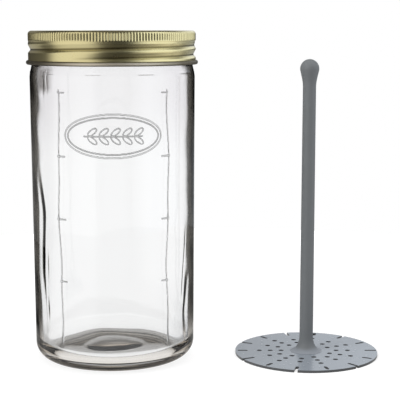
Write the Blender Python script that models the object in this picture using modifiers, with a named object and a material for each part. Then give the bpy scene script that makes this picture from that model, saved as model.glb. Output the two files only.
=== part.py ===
"""Pickle keeper with a lift strainer.

A wide-mouth one litre glass jar is closed by a two-piece lid: a stamped disc with a sealing ring, held
down by a rolled screw band. Beside it stands the lifter, a round strainer plate on a long stem, which
brings the pickles up out of their brine. Metres, +Z up. Both stand on z = 0, the jar on the -X side.
"""

import math

import bmesh
import bpy

NAME = "pickle_keeper"

# Glass jar
GLASS_HEIGHT = 0.1924
BODY_RADIUS = 0.0486
BASE_RADIUS = 0.0477
BODY_WALL = 0.0034
NECK_WALL = 0.00335
RIM_ROUND = 0.0008
SHOULDER_TOP_BELOW_RIM = 0.0150
SHOULDER_DROP = 0.0095
HEEL_ROUND = 0.0100
FOOT_WIDTH = 0.0032
FOOT_RECESS = 0.0012
BASE_HOLLOW = 0.0040
FLOOR_THICKNESS = 0.0044
FLOOR_DOME_RISE = 0.0025
FLOOR_DOME_RADIUS = 0.0183
FLOOR_ROUND = 0.0080

# Screw band
BAND_OVERHANG = 0.0006
BAND_SHEET = 0.0005
BAND_HEIGHT = 0.0195
BAND_CORNER_ROUND = 0.0020
BAND_FLANGE_WIDTH = 0.0080
BAND_HEM = 0.0006
CURL_REACH = 0.0013
CURL_HEIGHT = 0.0024
SKIRT_HEIGHT = 0.0010

# Screw thread, shared by the band and the glass
THREAD_PITCH = 0.0053
THREAD_CLEARANCE = 0.00035
GROOVE_DEPTH = 0.0012
GROOVE_UPPER_WIDTH = 0.0034
GROOVE_LOWER_WIDTH = 0.0022
GROOVE_DROP = 0.0081
GROOVE_TURNS = 1.37
GROOVE_START_ANGLE = math.radians(20)
GROOVE_FADE_ANGLE = math.radians(40)
THREAD_END_SHARE = 0.3

# Lid disc and its sealing ring
DISC_SHEET = 0.0004
DISC_CLEARANCE = 0.0006
DISC_STEP = 0.0010
DISC_RING_WIDTH = 0.0018
DISC_PANEL_RISE = 0.0008
DISC_SLOPE = 0.0016
DISC_BUTTON_RISE = 0.0004
DISC_BUTTON_RADIUS = 0.0110
SEAL_THICKNESS = 0.0008
SEAL_MARGIN = 0.0004
SEAT_GAP = 0.0003

# Lifter
PLATE_CLEARANCE = 0.0006
PLATE_THICKNESS = 0.0015
LIFTER_HEADROOM = 0.0060
BALL_RADIUS = 0.00565
STEM_RADIUS = 0.0039
STEM_FOOT_RADIUS = 0.0041
NECK_TAPER = 0.0105
NECK_BEND_SHARES = (0.875, 0.75)
BALL_LOW_ANGLE = -15
FLARE_RADIUS = 0.0096
FLARE_HEIGHT = 0.0095
FLARE_EDGE = 0.00025
SPIGOT_RADIUS = 0.0030
SPIGOT_CLEARANCE = 0.0003

# Strainer pattern: spokes that alternate, and where their holes and slots lie on the plate's radius
SPOKES = 14
HOLE_RADIUS = 0.00155
SLOT_WIDTH = 0.0020
OPEN_SPOKE_HOLE_SHARES = (0.426, 0.586)
CLOSED_SPOKE_HOLE_SHARES = (0.351, 0.506, 0.660)
SLOT_INNER_SHARE = 0.825
SLOT_OUTER_SHARE = 0.968

# How far apart the two axes stand
LIFTER_APART = 0.1165

# Fineness of the round forms
COLUMNS = 48
STEM_COLUMNS = 24
THREAD_STEP_ANGLE = math.radians(10)
WALL_ROWS = 14
CORNER_STEPS = 4
CURL_STEPS = 8
DOME_STEPS = 3
FLOOR_STEPS = 5
RIM_STEPS = 3
SHOULDER_STEPS = 6
INNER_SHOULDER_STEPS = 4
HEEL_STEPS = 7
BALL_STEPS = 9
FLARE_STEPS = 6
HOLE_SIDES = 10
SLOT_END_STEPS = 4
RIM_STEPS_PER_SPOKE = 6
SMOOTH_ANGLE = math.radians(35)
MERGE = 0.00001

# Worked out from the sizes above: radii from the band inwards
BAND_RADIUS = BODY_RADIUS + BAND_OVERHANG
BAND_BORE = BAND_RADIUS - BAND_SHEET
NECK_RADIUS = BAND_BORE - GROOVE_DEPTH - THREAD_CLEARANCE
GLASS_THREAD_HEIGHT = BAND_BORE - THREAD_CLEARANCE - NECK_RADIUS
MOUTH_RADIUS = NECK_RADIUS - NECK_WALL
CURL_OUTER = BAND_RADIUS + CURL_REACH
PLATE_RADIUS = MOUTH_RADIUS - PLATE_CLEARANCE

# Heights, from the glass rim upwards and from the floor of the jar
SEAL_Z = GLASS_HEIGHT + SEAT_GAP
DISC_Z = SEAL_Z + SEAL_THICKNESS + SEAT_GAP
BAND_TOP_Z = DISC_Z + DISC_SHEET + SEAT_GAP + BAND_SHEET
FLOOR_TOP_Z = BASE_HOLLOW + FLOOR_THICKNESS
LIFTER_HEIGHT = DISC_Z - DISC_STEP - FLOOR_TOP_Z - LIFTER_HEADROOM

# Places: the middle of the whole set is x = 0
JAR_X = -(LIFTER_APART + PLATE_RADIUS - CURL_OUTER) / 2
LIFTER_X = JAR_X + LIFTER_APART


def clear_scene():
    for obj in list(bpy.data.objects):
        bpy.data.objects.remove(obj, do_unlink=True)


def new_collection(name):
    collection = bpy.data.collections.new(name)
    bpy.context.scene.collection.children.link(collection)
    return collection


def new_material(name, colour, roughness, metallic=0.0, transmission=0.0):
    material = bpy.data.materials.new(name)
    material.use_nodes = True
    shader = material.node_tree.nodes["Principled BSDF"]
    shader.inputs["Base Color"].default_value = (*colour, 1.0)
    shader.inputs["Roughness"].default_value = roughness
    shader.inputs["Metallic"].default_value = metallic
    shader.inputs["Transmission Weight"].default_value = transmission
    material.diffuse_color = (*colour, 1.0)
    return material


def arc(centre, radius, start, end, steps, tall=None):
    """Points (radius, height) on a round corner, from one angle to another, in degrees, or on an oval one."""
    angles = [math.radians(start + (end - start) * step / steps) for step in range(steps + 1)]
    tall = tall or radius
    return [(centre[0] + radius * math.cos(a), centre[1] + tall * math.sin(a)) for a in angles]


def domed(radius, middle, rise, steps):
    """Points of a shallow dome between its middle and its rim, both left out. It falls by its rise."""
    shares = [step / steps for step in range(1, steps)]
    return [(radius * share, middle - rise * share ** 2) for share in shares]


def eased(start, end, steps):
    """Points of a smooth S from one (radius, height) to another, both ends left out."""
    shares = [step / steps for step in range(1, steps)]
    return [
        (start[0] + (end[0] - start[0]) * t * t * (3 - 2 * t), start[1] + (end[1] - start[1]) * t)
        for t in shares
    ]


def evaluated_mesh(obj):
    graph = bpy.context.evaluated_depsgraph_get()
    return bpy.data.meshes.new_from_object(obj.evaluated_get(graph))


def shade_round(mesh):
    mesh.shade_smooth()
    mesh.set_sharp_from_angle(angle=SMOOTH_ANGLE)


def turned(name, profile, columns, collection, material, closed=False):
    """A profile of (radius, height) points turned about the piece's own Z axis."""
    mesh = bpy.data.meshes.new(name)
    edges = [(i, i + 1) for i in range(len(profile) - 1)]
    if closed:
        edges.append((len(profile) - 1, 0))
    mesh.from_pydata([(radius, 0.0, height) for radius, height in profile], edges, [])
    obj = bpy.data.objects.new(name, mesh)
    collection.objects.link(obj)
    screw = obj.modifiers.new("Turn", "SCREW")
    screw.steps = columns
    screw.render_steps = columns
    screw.use_merge_vertices = True
    screw.merge_threshold = MERGE
    turned_mesh = evaluated_mesh(obj)
    obj.modifiers.clear()
    obj.data = turned_mesh
    bpy.data.meshes.remove(mesh)
    turned_mesh.name = name
    turned_mesh.materials.append(material)
    shade_round(turned_mesh)
    return obj


def thicken_inwards(obj, thickness):
    solidify = obj.modifiers.new("Sheet", "SOLIDIFY")
    solidify.thickness = thickness
    solidify.offset = -1
    solidify.use_even_offset = True


def boolean(obj, operand, operation):
    modifier = obj.modifiers.new(operand.name, "BOOLEAN")
    modifier.operation = operation
    modifier.object = operand
    modifier.solver = "EXACT"


def jar_profile():
    """The glass in section, from the middle of its floor up the inside, over the rim and down to the foot."""
    inner_base = BASE_RADIUS - BODY_WALL
    inner_body = BODY_RADIUS - BODY_WALL
    ring_z = FLOOR_TOP_Z - FLOOR_DOME_RISE
    shoulder_top = GLASS_HEIGHT - SHOULDER_TOP_BELOW_RIM
    shoulder_low = shoulder_top - SHOULDER_DROP
    foot_outer = BASE_RADIUS - HEEL_ROUND
    foot_inner = foot_outer - FOOT_WIDTH
    hollow_radius = foot_inner - FOOT_RECESS
    floor_corner = (inner_base - FLOOR_ROUND, ring_z + FLOOR_ROUND)
    inside = [(0.0, FLOOR_TOP_Z)]
    inside += domed(FLOOR_DOME_RADIUS, FLOOR_TOP_Z, FLOOR_DOME_RISE, DOME_STEPS)
    inside += [(FLOOR_DOME_RADIUS, ring_z)]
    inside += arc(floor_corner, FLOOR_ROUND, -90, 0, FLOOR_STEPS)
    inside += [(inner_body, shoulder_low)]
    inside += eased((inner_body, shoulder_low), (MOUTH_RADIUS, shoulder_top), INNER_SHOULDER_STEPS)
    inside += [(MOUTH_RADIUS, shoulder_top)]
    rim = arc((MOUTH_RADIUS + RIM_ROUND, GLASS_HEIGHT - RIM_ROUND), RIM_ROUND, 180, 90, RIM_STEPS)
    rim += arc((NECK_RADIUS - RIM_ROUND, GLASS_HEIGHT - RIM_ROUND), RIM_ROUND, 90, 0, RIM_STEPS)
    outside = [(NECK_RADIUS, shoulder_top)]
    outside += eased((NECK_RADIUS, shoulder_top), (BODY_RADIUS, shoulder_low), SHOULDER_STEPS)
    outside += [(BODY_RADIUS, shoulder_low)]
    outside += arc((foot_outer, HEEL_ROUND), HEEL_ROUND, 0, -90, HEEL_STEPS)
    under = [(foot_inner, 0.0), (hollow_radius, FOOT_RECESS)]
    under += domed(hollow_radius, BASE_HOLLOW, BASE_HOLLOW - FOOT_RECESS, DOME_STEPS)[::-1]
    return inside + rim + outside + under + [(0.0, BASE_HOLLOW)]


def helix_height(along):
    """Height of the band's rolled groove, at an angle along it from its top end."""
    return BAND_TOP_Z - GROOVE_DROP - THREAD_PITCH * along / math.tau


def glass_thread(collection, material):
    """The raised bead that winds down the neck, where the band bulges between two turns of its groove."""
    length = GROOVE_TURNS * math.tau
    above_groove = THREAD_PITCH - GROOVE_LOWER_WIDTH
    steps = round(length / THREAD_STEP_ANGLE)
    data = bpy.data.curves.new("glass_thread", "CURVE")
    data.dimensions = "3D"
    data.bevel_depth = GLASS_THREAD_HEIGHT
    data.bevel_resolution = 2
    data.use_fill_caps = True
    spline = data.splines.new("POLY")
    spline.points.add(steps)
    for step, point in enumerate(spline.points):
        along = length * step / steps
        angle = GROOVE_START_ANGLE - along
        height = helix_height(along) + above_groove
        point.co = (NECK_RADIUS * math.cos(angle), NECK_RADIUS * math.sin(angle), height, 1.0)
        point.radius = max(THREAD_END_SHARE, fade(along, length))
    curve = bpy.data.objects.new("glass_thread_path", data)
    collection.objects.link(curve)
    curve.location = (JAR_X, 0.0, 0.0)
    bpy.context.view_layer.update()
    mesh = evaluated_mesh(curve)
    shape = bmesh.new()
    shape.from_mesh(mesh)
    bmesh.ops.remove_doubles(shape, verts=shape.verts, dist=MERGE)
    bmesh.ops.recalc_face_normals(shape, faces=shape.faces)
    shape.to_mesh(mesh)
    shape.free()
    bead = bpy.data.objects.new("glass_thread", mesh)
    bead.matrix_world = curve.matrix_world
    collection.objects.link(bead)
    bpy.data.objects.remove(curve, do_unlink=True)
    mesh.materials.append(material)
    bead.hide_render = True
    bead.display_type = "WIRE"
    return bead


def fade(along, length):
    """0 at the ends of a thread and 1 where it has its full depth."""
    share = min(along, length - along) / GROOVE_FADE_ANGLE
    return math.sin(math.pi / 2 * min(max(share, 0.0), 1.0))


def make_jar(collection, cutters, material):
    jar = turned("jar", jar_profile(), COLUMNS, collection, material)
    jar.location = (JAR_X, 0.0, 0.0)
    boolean(jar, glass_thread(cutters, material), "UNION")
    return jar


def band_profile():
    """The outer face of the band's sheet: in over the flange, down the wall and out into the curl."""
    flange_inner = BAND_RADIUS - BAND_FLANGE_WIDTH
    corner = (BAND_RADIUS - BAND_CORNER_ROUND, BAND_TOP_Z - BAND_CORNER_ROUND)
    roll = (CURL_REACH - BAND_SHEET) / 2
    roll_centre = (BAND_RADIUS + roll, BAND_TOP_Z - BAND_HEIGHT + CURL_HEIGHT / 2)
    wall_top = corner[1]
    wall_low = roll_centre[1] + CURL_HEIGHT / 2 + SKIRT_HEIGHT
    profile = [(flange_inner, BAND_TOP_Z - BAND_HEM), (flange_inner + BAND_HEM, BAND_TOP_Z)]
    profile += arc(corner, BAND_CORNER_ROUND, 90, 0, CORNER_STEPS)
    for row in range(1, WALL_ROWS + 1):
        profile.append((BAND_RADIUS, wall_top + (wall_low - wall_top) * row / WALL_ROWS))
    profile += arc(roll_centre, roll, 180, 450, CURL_STEPS, CURL_HEIGHT / 2 - BAND_SHEET)
    return profile


def groove_share(angle, height):
    """How deep the rolled groove is at a place on the wall, from 0 to 1. Its upper side is the gentler."""
    length = GROOVE_TURNS * math.tau
    deepest = 0.0
    along = (GROOVE_START_ANGLE - angle) % math.tau
    while along < length:
        rise = height - helix_height(along)
        off = rise / GROOVE_UPPER_WIDTH if rise > 0 else -rise / GROOVE_LOWER_WIDTH
        if off < 1:
            deepest = max(deepest, math.cos(math.pi / 2 * off) ** 2 * fade(along, length))
        along += math.tau
    return deepest


def make_band(collection, material):
    band = turned("screw_band", band_profile(), COLUMNS, collection, material)
    band.location = (JAR_X, 0.0, 0.0)
    wall_low = BAND_TOP_Z - BAND_HEIGHT + CURL_HEIGHT + SKIRT_HEIGHT
    for vertex in band.data.vertices:
        x, y, z = vertex.co
        if z < wall_low - MERGE:
            continue
        radius = math.hypot(x, y)
        rolled = radius - GROOVE_DEPTH * groove_share(math.atan2(y, x), z)
        if radius > NECK_RADIUS:
            vertex.co = (x * rolled / radius, y * rolled / radius, z)
    thicken_inwards(band, BAND_SHEET)
    return band


def disc_profile():
    """The upper face of the lid disc: raised middle, sunk ring inside the mouth and flat seat over the rim."""
    edge = NECK_RADIUS - THREAD_CLEARANCE
    step_outer = MOUTH_RADIUS - DISC_CLEARANCE
    step_inner = step_outer - DISC_STEP
    seat_z = DISC_Z + DISC_SHEET
    ring_z = seat_z - DISC_STEP
    panel_z = ring_z + DISC_PANEL_RISE
    ring_inner = step_inner - DISC_RING_WIDTH
    button_z = panel_z + DISC_BUTTON_RISE
    profile = [(0.0, button_z), (DISC_BUTTON_RADIUS - DISC_SLOPE, button_z), (DISC_BUTTON_RADIUS, panel_z)]
    profile += [(ring_inner - DISC_SLOPE, panel_z), (ring_inner, ring_z), (step_inner, ring_z)]
    profile += [(step_outer, seat_z), (edge, seat_z)]
    return profile


def make_disc(collection, material):
    disc = turned("lid_disc", disc_profile(), COLUMNS, collection, material)
    disc.location = (JAR_X, 0.0, 0.0)
    thicken_inwards(disc, DISC_SHEET)
    return disc


def make_seal(collection, material):
    """The sealing ring lies on the flat of the glass rim, under the disc's seat."""
    inner = MOUTH_RADIUS + SEAL_MARGIN
    outer = NECK_RADIUS - SEAL_MARGIN
    top = SEAL_Z + SEAL_THICKNESS
    profile = [(inner, top), (outer, top), (outer, SEAL_Z), (inner, SEAL_Z)]
    seal = turned("seal_ring", profile, COLUMNS, collection, material, closed=True)
    seal.location = (JAR_X, 0.0, 0.0)
    return seal


def spoke_angle(spoke):
    return math.tau * spoke / SPOKES


def polar(radius, angle):
    return (radius * math.cos(angle), radius * math.sin(angle))


def on_spoke(angle, points):
    """Points (along, across) of a spoke, turned to the spoke's angle."""
    cos, sin = math.cos(angle), math.sin(angle)
    return [(along * cos - across * sin, along * sin + across * cos) for along, across in points]


def slot_end(middle, side):
    """The round end of a slot: side is -1 for its inner end and 1 for its outer end."""
    start, end = (90, 270) if side < 0 else (-90, 90)
    return arc((middle, 0.0), SLOT_WIDTH / 2, start, end, SLOT_END_STEPS)


def rim_outline():
    """The plate's edge, with a slot open to it at every second spoke."""
    half_slot_angle = math.asin(SLOT_WIDTH / 2 / PLATE_RADIUS)
    points = []
    for spoke in range(0, SPOKES, 2):
        angle = spoke_angle(spoke)
        inner = slot_end(PLATE_RADIUS * SLOT_INNER_SHARE + SLOT_WIDTH / 2, -1)
        points.append(polar(PLATE_RADIUS, angle - half_slot_angle))
        points += on_spoke(angle, inner[::-1])
        points.append(polar(PLATE_RADIUS, angle + half_slot_angle))
        span = spoke_angle(2) - 2 * half_slot_angle
        steps = 2 * RIM_STEPS_PER_SPOKE
        for step in range(1, steps):
            points.append(polar(PLATE_RADIUS, angle + half_slot_angle + span * step / steps))
    return points


def closed_slot(angle):
    inner = slot_end(PLATE_RADIUS * SLOT_INNER_SHARE + SLOT_WIDTH / 2, -1)
    outer = slot_end(PLATE_RADIUS * SLOT_OUTER_SHARE - SLOT_WIDTH / 2, 1)
    return on_spoke(angle, inner + outer)


def round_hole(centre, radius, sides):
    turns = [math.tau * side / sides for side in range(sides)]
    return [(centre[0] + radius * math.cos(a), centre[1] + radius * math.sin(a)) for a in turns]


def plate_outlines():
    outlines = [rim_outline(), round_hole((0.0, 0.0), SPIGOT_RADIUS + SPIGOT_CLEARANCE, STEM_COLUMNS)]
    for spoke in range(SPOKES):
        angle = spoke_angle(spoke)
        shares = CLOSED_SPOKE_HOLE_SHARES if spoke % 2 else OPEN_SPOKE_HOLE_SHARES
        for share in shares:
            outlines.append(round_hole(polar(PLATE_RADIUS * share, angle), HOLE_RADIUS, HOLE_SIDES))
        if spoke % 2:
            outlines.append(closed_slot(angle))
    return outlines


def make_plate(collection, material):
    data = bpy.data.curves.new("strainer_plate", "CURVE")
    data.dimensions = "2D"
    data.fill_mode = "BOTH"
    data.extrude = PLATE_THICKNESS / 2
    for outline in plate_outlines():
        spline = data.splines.new("POLY")
        spline.points.add(len(outline) - 1)
        for point, (x, y) in zip(spline.points, outline):
            point.co = (x, y, 0.0, 1.0)
        spline.use_cyclic_u = True
    data.materials.append(material)
    plate = bpy.data.objects.new("strainer_plate", data)
    collection.objects.link(plate)
    plate.location = (LIFTER_X, 0.0, PLATE_THICKNESS / 2)
    return plate


def stem_profile():
    """The stem from the top of its ball down its side to the flared foot and the spigot in the plate."""
    ball_z = LIFTER_HEIGHT - BALL_RADIUS
    taper_low = ball_z - NECK_TAPER
    in_share, down_share = NECK_BEND_SHARES
    neck_bend = (BALL_RADIUS - (BALL_RADIUS - STEM_RADIUS) * in_share, ball_z - NECK_TAPER * down_share)
    flare_top = PLATE_THICKNESS + FLARE_EDGE + FLARE_HEIGHT
    profile = arc((0.0, ball_z), BALL_RADIUS, 90, BALL_LOW_ANGLE, BALL_STEPS)
    profile += [neck_bend, (STEM_RADIUS, taper_low), (STEM_FOOT_RADIUS, flare_top)]
    for step in range(1, FLARE_STEPS + 1):
        turn = math.pi / 2 * step / FLARE_STEPS
        radius = FLARE_RADIUS - (FLARE_RADIUS - STEM_FOOT_RADIUS) * math.cos(turn)
        profile.append((radius, flare_top - FLARE_HEIGHT * math.sin(turn)))
    profile += [(FLARE_RADIUS, PLATE_THICKNESS), (SPIGOT_RADIUS, PLATE_THICKNESS)]
    profile += [(SPIGOT_RADIUS, SPIGOT_CLEARANCE), (0.0, SPIGOT_CLEARANCE)]
    profile[0] = (0.0, LIFTER_HEIGHT)
    return profile


def make_stem(collection, material):
    stem = turned("lifter_stem", stem_profile(), STEM_COLUMNS, collection, material)
    stem.location = (LIFTER_X, 0.0, 0.0)
    return stem


def main():
    clear_scene()
    parts = new_collection(NAME)
    helpers = new_collection(NAME + "_helpers")
    glass = new_material("clear_glass", (0.93, 0.95, 0.95), 0.03, transmission=1.0)
    gold = new_material("gold_lacquered_steel", (0.50, 0.43, 0.20), 0.28, metallic=1.0)
    rubber = new_material("sealing_compound", (0.60, 0.30, 0.22), 0.60)
    stem_plastic = new_material("grey_stem_plastic", (0.15, 0.16, 0.17), 0.50)
    plate_plastic = new_material("grey_plate_plastic", (0.32, 0.35, 0.39), 0.35)
    make_jar(parts, helpers, glass)
    make_band(parts, gold)
    make_disc(parts, gold)
    make_seal(parts, rubber)
    make_plate(parts, plate_plastic)
    make_stem(parts, stem_plastic)


main()
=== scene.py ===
"""Looks of the pickle keeper with a lift strainer.

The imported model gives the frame. Over it this script makes the fine surfaces: the pressed glass with its
moulded scale and oval, the rolled and fluted gold band, its disc and sealing ring, and the two pieces of
the lifter. It adds their finishes, a pale floor, soft studio light and the camera. Metres, +Z up.
"""

import math
import random

import bmesh
import bpy
import numpy as np
from mathutils import Matrix, Vector


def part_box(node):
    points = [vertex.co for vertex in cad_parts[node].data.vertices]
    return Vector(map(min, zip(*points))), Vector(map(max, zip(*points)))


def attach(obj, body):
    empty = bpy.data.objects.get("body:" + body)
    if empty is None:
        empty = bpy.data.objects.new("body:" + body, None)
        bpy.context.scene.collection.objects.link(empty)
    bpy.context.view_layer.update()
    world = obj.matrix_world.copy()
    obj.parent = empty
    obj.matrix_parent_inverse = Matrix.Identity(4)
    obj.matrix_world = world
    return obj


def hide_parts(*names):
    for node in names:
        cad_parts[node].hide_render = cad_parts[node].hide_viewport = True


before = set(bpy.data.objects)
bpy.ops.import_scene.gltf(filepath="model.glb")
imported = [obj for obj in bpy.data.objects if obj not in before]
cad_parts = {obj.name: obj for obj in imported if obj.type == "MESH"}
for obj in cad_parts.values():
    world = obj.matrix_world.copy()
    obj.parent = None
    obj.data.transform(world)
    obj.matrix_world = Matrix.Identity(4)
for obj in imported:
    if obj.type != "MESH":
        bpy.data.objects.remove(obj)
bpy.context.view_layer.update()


def middle_of(node):
    low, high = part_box(node)
    return (low + high) / 2


def radius_of(node):
    low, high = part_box(node)
    return (high.x - low.x) / 2


# Places and outer sizes, from the frame
JAR_X = middle_of("jar").x
LIFTER_X = middle_of("strainer_plate").x
GLASS_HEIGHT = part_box("jar")[1].z
BODY_RADIUS = radius_of("jar")
BAND_TOP_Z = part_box("screw_band")[1].z
BAND_LOW_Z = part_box("screw_band")[0].z
CURL_OUTER = radius_of("screw_band")
SEAL_LOW_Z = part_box("seal_ring")[0].z
SEAL_TOP_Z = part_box("seal_ring")[1].z
SEAL_OUTER = radius_of("seal_ring")
DISC_RADIUS = radius_of("lid_disc")
DISC_TOP_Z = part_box("lid_disc")[1].z
PLATE_RADIUS = radius_of("strainer_plate")
PLATE_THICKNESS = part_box("strainer_plate")[1].z
LIFTER_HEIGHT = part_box("lifter_stem")[1].z

# Glass
BASE_RADIUS = 0.0477
BODY_WALL = 0.0034
NECK_WALL = 0.00335
NECK_GAP = 0.00035
RIM_ROUND = 0.0008
SHOULDER_TOP_Z = GLASS_HEIGHT - 0.0150
SHOULDER_LOW_Z = SHOULDER_TOP_Z - 0.0095
HEEL_ROUND = 0.0100
FOOT_WIDTH = 0.0032
FOOT_RECESS = 0.0012
BASE_HOLLOW = 0.0040
FLOOR_THICKNESS = 0.0044
FLOOR_DOME_RISE = 0.0025
FLOOR_DOME_RADIUS = 0.0183
FLOOR_ROUND = 0.0080
NECK_RADIUS = DISC_RADIUS + NECK_GAP
MOUTH_RADIUS = NECK_RADIUS - NECK_WALL
FLOOR_TOP_Z = BASE_HOLLOW + FLOOR_THICKNESS

# Moulded marks on the glass, from the direction that faces the camera
FRONT_ANGLE = math.radians(-85.8)
MARK_HEIGHT = 0.00034
MARK_HALF_WIDTH = 0.00050
SCALE_ANGLE = math.radians(39.3)
SCALE_LOW_Z = 0.0150
SCALE_TOP_Z = 0.1610
SCALE_TICKS = 4
TICK_LENGTH = 0.0042
TICK_DOT_RADIUS = 0.0011
TICK_GAP_RISE = 0.0026
TICK_GAP_HALF = 0.0011
SCALE_WANDER = 0.0007
OVAL_Z = 0.1370
OVAL_HALF_WIDTH = 0.0285
OVAL_HALF_HEIGHT = 0.0122
OVAL_LINE_GAP = 0.0019
SPRIG_HALF_LENGTH = 0.0165
LEAF_PAIRS = 5
LEAF_HALF_LENGTH = 0.0030
LEAF_HALF_WIDTH = 0.0013
LEAF_TILT = math.radians(38)

# How the glass takes light: past the critical angle it is thrown back, and painted shade darkens it there
GLASS_IOR = 1.5
TRAPPED_FACING = 1 - math.sqrt(1 - 1 / GLASS_IOR ** 2)
TRAPPED_TINT = (0.20, 0.19, 0.17)
# painted shade on the flanks of the moulded marks
MARK_TINT = (0.16, 0.16, 0.16)
BASE_TRAPPED_TINT = (0.85, 0.82, 0.78)

# Waves that the glass keeps from its moulding
WAVE_DEPTH = 0.00030
SKIN_WAVE_DEPTH = 0.00003
WAVE_SEED = 7

# Upright creases inside the glass: half width in degrees, height, and a route of (z, degrees from the front)
CREASES = [
    (5.5, 0.00023, [(0.006, -63), (0.022, -59.5), (0.036, -60), (0.055, -64.5), (0.092, -61.5), (0.124, -70)]),
    (2.4, 0.00009, [(0.020, -55), (0.045, -57), (0.078, -56)]),
    (4.5, 0.00020, [(0.010, 66), (0.030, 62), (0.056, 67)]),
    (1.3, 0.00009, [(0.033, 56.5), (0.056, 59.5), (0.082, 64)]),
    (2.6, 0.00013, [(0.155, -58), (0.164, -57), (0.178, -60)]),
    (1.5, 0.00010, [(0.159, -51.5), (0.168, -53), (0.177, -52)]),
]

# Faint broken line of the mould under the shoulder
SHOULDER_LINE_Z = 0.1712
SHOULDER_LINE_HALF_WIDTH = 0.0008
SHOULDER_LINE_HEIGHT = 0.00022

# Screw band
BAND_SHEET = 0.0005
CURL_REACH = 0.0013
CURL_HEIGHT = 0.0024
BAND_RADIUS = CURL_OUTER - CURL_REACH
BAND_BORE = BAND_RADIUS - BAND_SHEET
BAND_CORNER_ROUND = 0.0020
BAND_FLANGE_WIDTH = 0.0080
FLUTES = 172
COLUMNS_PER_FLUTE = 8
FLUTE_DEPTH = 0.00034
FLUTE_SHADE = 0.85
FLUTE_TOP_DROP = 0.0012
FLUTE_LOW_DROP = 0.0054
FLUTE_EASE = 0.0006
NECKING_DROP = 0.0063
NECKING_DEPTH = 0.00022
NECKING_HALF_WIDTH = 0.0009

# Screw thread of the band and the glass
THREAD_PITCH = 0.0053
GROOVE_DEPTH = 0.0012
GROOVE_UPPER_WIDTH = 0.0034
GROOVE_LOWER_WIDTH = 0.0022
GROOVE_CREASE_DEPTH = 0.00018
GROOVE_CREASE_WIDTH = 0.00095
THREAD_HALF_WIDTH = 0.0013
GROOVE_DROP = 0.0081
GROOVE_TURNS = 1.37
GROOVE_START_ANGLE = math.radians(20)
GROOVE_FADE_ANGLE = math.radians(40)

# Lid disc
DISC_SHEET = 0.0004
DISC_CLEARANCE = 0.0006
DISC_STEP = 0.0010
DISC_RING_WIDTH = 0.0018
DISC_PANEL_RISE = 0.0008
DISC_SLOPE = 0.0016
DISC_BUTTON_RISE = 0.0004
DISC_BUTTON_RADIUS = 0.0110

# Sealing ring
SEAL_MARGIN = 0.0004

# Lifter
BALL_RADIUS = 0.00565
STEM_RADIUS = 0.0039
STEM_FOOT_RADIUS = 0.0041
NECK_TAPER = 0.0105
FLARE_RADIUS = 0.0096
FLARE_HEIGHT = 0.0095
FLARE_EDGE = 0.00012
SPIGOT_RADIUS = 0.0030
SPIGOT_CLEARANCE = 0.0003
SPOKES = 14
HOLE_RADIUS = 0.00155
SLOT_WIDTH = 0.0020
PLATE_EDGE_ROUND = 0.0002
OPEN_SPOKE_HOLE_SHARES = (0.426, 0.586)
CLOSED_SPOKE_HOLE_SHARES = (0.351, 0.506, 0.660)
SLOT_INNER_SHARE = 0.825
SLOT_OUTER_SHARE = 0.968

# Camera and studio
IMAGE_SIDE_PX = 400
FOCAL_PX = 1179
SENSOR_MM = 36.0
CAMERA_PLACE = (-0.0029, -0.70, 0.197)
CAMERA_PITCH = math.radians(8.34)
FLOOR_RADIUS = 0.45
RIGHT_POWER = 1.3


# Outlines

def arc(centre, radius, start, end, steps, tall=None):
    """Points (radius, height) on a round or oval corner, from one angle to another, in degrees."""
    tall = tall or radius
    angles = [math.radians(start + (end - start) * step / steps) for step in range(steps + 1)]
    return [(centre[0] + radius * math.cos(a), centre[1] + tall * math.sin(a)) for a in angles]


def line(start, end, step):
    """Points on a straight run, no further apart than a step, both ends included."""
    count = max(1, math.ceil(math.dist(start, end) / step))
    shares = [index / count for index in range(count + 1)]
    return [tuple(a + (b - a) * share for a, b in zip(start, end)) for share in shares]


def eased(start, end, steps):
    """Points of a smooth S from one (radius, height) to another, both ends included."""
    shares = [index / steps for index in range(steps + 1)]
    return [
        (start[0] + (end[0] - start[0]) * t * t * (3 - 2 * t), start[1] + (end[1] - start[1]) * t)
        for t in shares
    ]


def domed(radius, middle, rise, steps):
    """Points of a shallow dome from its middle to its rim, where it has fallen by its rise."""
    shares = [index / steps for index in range(steps + 1)]
    return [(radius * share, middle - rise * share ** 2) for share in shares]


def without_repeats(points, least=1e-7):
    kept = [points[0]]
    for point in points[1:]:
        if math.dist(point, kept[-1]) > least:
            kept.append(point)
    return kept


# Meshes

def mesh_piece(name, vertices, faces, material):
    mesh = bpy.data.meshes.new(name)
    mesh.from_pydata(vertices, [], faces)
    mesh.materials.append(material)
    mesh.shade_smooth()
    mesh.update()
    obj = bpy.data.objects.new(name, mesh)
    bpy.context.scene.collection.objects.link(obj)
    return obj


def turned_piece(name, axis_x, radii, heights, angles, material, closed=False):
    """A surface of revolution from grids of radii and heights, one row to a profile point.

    A row at the axis becomes one point. A closed profile joins its last row to its first."""
    rows, columns = radii.shape
    starts, vertices = [], []
    for row in range(rows):
        starts.append(len(vertices))
        if not closed and radii[row].max() < 1e-9:
            vertices.append((axis_x, 0.0, float(heights[row, 0])))
            continue
        x = axis_x + radii[row] * np.cos(angles)
        y = radii[row] * np.sin(angles)
        vertices.extend(zip(x.tolist(), y.tolist(), heights[row].tolist()))
    starts.append(len(vertices))
    faces = []
    for row in range(rows if closed else rows - 1):
        after = (row + 1) % rows
        here, there = starts[row], starts[after]
        single_here = starts[row + 1] - here == 1
        single_there = (starts[after + 1] - there) == 1
        for column in range(columns):
            beside = (column + 1) % columns
            if single_here:
                faces.append((here, there + beside, there + column))
            elif single_there:
                faces.append((here + column, here + beside, there))
            else:
                faces.append((here + column, here + beside, there + beside, there + column))
    obj = mesh_piece(name, vertices, faces, material)
    face_outwards(obj)
    return obj


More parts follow.
